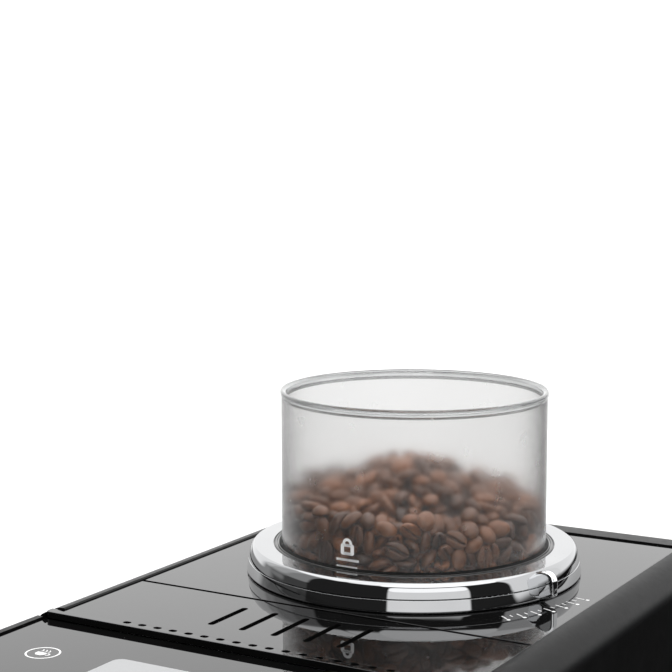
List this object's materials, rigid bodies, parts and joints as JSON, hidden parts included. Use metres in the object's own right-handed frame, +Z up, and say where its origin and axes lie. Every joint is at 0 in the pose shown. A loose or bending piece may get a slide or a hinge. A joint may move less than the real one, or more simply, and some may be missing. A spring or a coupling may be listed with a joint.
{
  "type": "bean to cup coffee machine",
  "caption": "Countertop bean to cup coffee machine with a frosted bean hopper in a chrome grind collar, glossy deck, height-adjustable spout and pull-out drip tray.",
  "frame": {"origin": "centre of the whole machine's box on the surface that it stands on", "axes": "+Z up, +Y from the front towards the back, +X to the right as seen from the front"},
  "size_m": [0.245, 0.43, 0.3806],
  "materials": {
    "satin_black": "satin, fine moulded texture",
    "gloss_black": "high gloss",
    "display_glass": "polished black glass",
    "chrome": "polished",
    "frosted_plastic": "frosted, translucent",
    "clear_plastic": "clear, polished",
    "smoke_plastic": "clear, smoke tinted",
    "grey_plastic": "moulded",
    "dark_plastic": "moulded",
    "rubber": "matt",
    "silicone": "translucent matt",
    "steel": "brushed",
    "brass": "turned",
    "aluminium": "cast",
    "red_plastic": "moulded",
    "circuit_board": "lacquered board",
    "ceramic": "unglazed, ground"
  },
  "bodies": {
    "chassis": {"base_pan": "dark_plastic", "foot_front_left": "rubber", "foot_front_right": "rubber", "foot_rear_left": "rubber", "foot_rear_right": "rubber", "inner_frame": "grey_plastic", "top_frame": "grey_plastic", "side_cover_left": "satin_black", "side_cover_right": "satin_black", "rear_cover": "satin_black", "top_deck": "gloss_black", "front_head": "satin_black", "display_glass": "display_glass", "display_module": "dark_plastic", "cup_bay_wall": "dark_plastic", "spout_rail": "steel", "hot_water_spout": "chrome", "brew_frame": "dark_plastic", "brew_head": "grey_plastic", "brew_motor": "steel", "powder_funnel": "dark_plastic", "grinder_housing": "dark_plastic", "grinder_motor": "steel", "ground_chute": "dark_plastic", "water_pump": "brass", "thermoblock": "aluminium", "flow_meter": "dark_plastic", "power_board": "circuit_board", "tank_hose": "silicone", "pump_hose": "silicone", "brew_hose": "silicone", "mains_inlet": "dark_plastic", "cover_screw_left": "steel", "cover_screw_right": "steel"},
    "grind_adjuster": {"grind_collar": "chrome", "collar_tab": "chrome", "burr_carrier": "grey_plastic", "upper_burr": "ceramic"},
    "shutter": {"hopper_shutter": "dark_plastic"},
    "hopper": {"bean_hopper": "frosted_plastic", "hopper_lip": "clear_plastic"},
    "lid": {"deck_lid": "gloss_black"},
    "door": {"service_door": "satin_black"},
    "tray": {"drip_tray": "satin_black"},
    "grid": {"drip_grid": "steel"},
    "float": {"tray_float": "red_plastic"},
    "grounds": {"grounds_container": "dark_plastic"},
    "tank": {"water_tank": "smoke_plastic", "tank_lid": "dark_plastic", "tank_panel": "satin_black", "tank_valve": "rubber"},
    "spout": {"spout_head": "gloss_black", "spout_nozzle_left": "chrome", "spout_nozzle_right": "chrome"},
    "grinder_rotor": {"lower_burr": "ceramic", "grinder_gear": "grey_plastic"},
    "pinion": {"motor_pinion": "steel"},
    "spindle": {"brew_spindle": "brass"},
    "chamber": {"brew_chamber": "dark_plastic"},
    "rocker": {"main_switch": "gloss_black"}
  },
  "joints": [
    {"name": "grind_adjust", "type": "hinge", "parent": "chassis", "child": "grind_adjuster", "pos_m": [0, 0.088, 0.29], "axis": [0, 0, 1], "range_deg": [-20, 10.5]},
    {"name": "hopper_lift", "type": "slide", "parent": "chassis", "child": "shutter", "axis": [0, 0, 1], "range_m": [0, 0.11]},
    {"name": "hopper_turn", "type": "hinge", "parent": "shutter", "child": "hopper", "pos_m": [0, 0.088, 0.29], "axis": [0, 0, 1], "range_deg": [0, 75]},
    {"name": "lid_hinge", "type": "hinge", "parent": "chassis", "child": "lid", "pos_m": [0, 0.0001, 0.29], "axis": [-1, 0, 0], "range_deg": [0, 80]},
    {"name": "door_hinge", "type": "hinge", "parent": "chassis", "child": "door", "pos_m": [0.12034, 0.0742, 0.139], "axis": [-0.017, 0, 0.9999], "range_deg": [0, 100]},
    {"name": "tray_slide", "type": "slide", "parent": "chassis", "child": "tray", "axis": [0, -1, 0], "range_m": [0, 0.15]},
    {"name": "grid_lift", "type": "slide", "parent": "tray", "child": "grid", "axis": [0, 0, 1], "range_m": [0, 0.03]},
    {"name": "float_rise", "type": "slide", "parent": "tray", "child": "float", "axis": [0, 0, 1], "range_m": [0, 0.01]},
    {"name": "grounds_slide", "type": "slide", "parent": "chassis", "child": "grounds", "axis": [0, -1, 0], "range_m": [0, 0.13]},
    {"name": "tank_slide", "type": "slide", "parent": "chassis", "child": "tank", "axis": [-1, 0, 0], "range_m": [0, 0.13]},
    {"name": "spout_height", "type": "slide", "parent": "chassis", "child": "spout", "axis": [0, 0, 1], "range_m": [0, 0.045]},
    {"name": "grinder_spin", "type": "hinge", "parent": "chassis", "child": "grinder_rotor", "pos_m": [0, 0.088, 0.2], "axis": [0, 0, 1], "continuous": true},
    {"name": "pinion_spin", "type": "hinge", "parent": "chassis", "child": "pinion", "pos_m": [0, 0.13025, 0.198], "axis": [0, 0, 1], "continuous": true},
    {"name": "spindle_turn", "type": "hinge", "parent": "chassis", "child": "spindle", "pos_m": [0.038, 0.024, 0.1], "axis": [0, 0, 1], "range_deg": [0, 1442]},
    {"name": "chamber_lift", "type": "slide", "parent": "chassis", "child": "chamber", "axis": [0, 0, 1], "range_m": [0, 0.04]},
    {"name": "main_switch_rock", "type": "hinge", "parent": "chassis", "child": "rocker", "pos_m": [0.035, 0.207, 0.04], "axis": [1, 0, 0], "range_deg": [0, 12]}
  ],
  "couplings": [
    {"joint": "pinion_spin", "follows": "grinder_spin", "ratio": -3.6667},
    {"joint": "spindle_turn", "follows": "chamber_lift", "rad_per_m": 628.32}
  ]
}
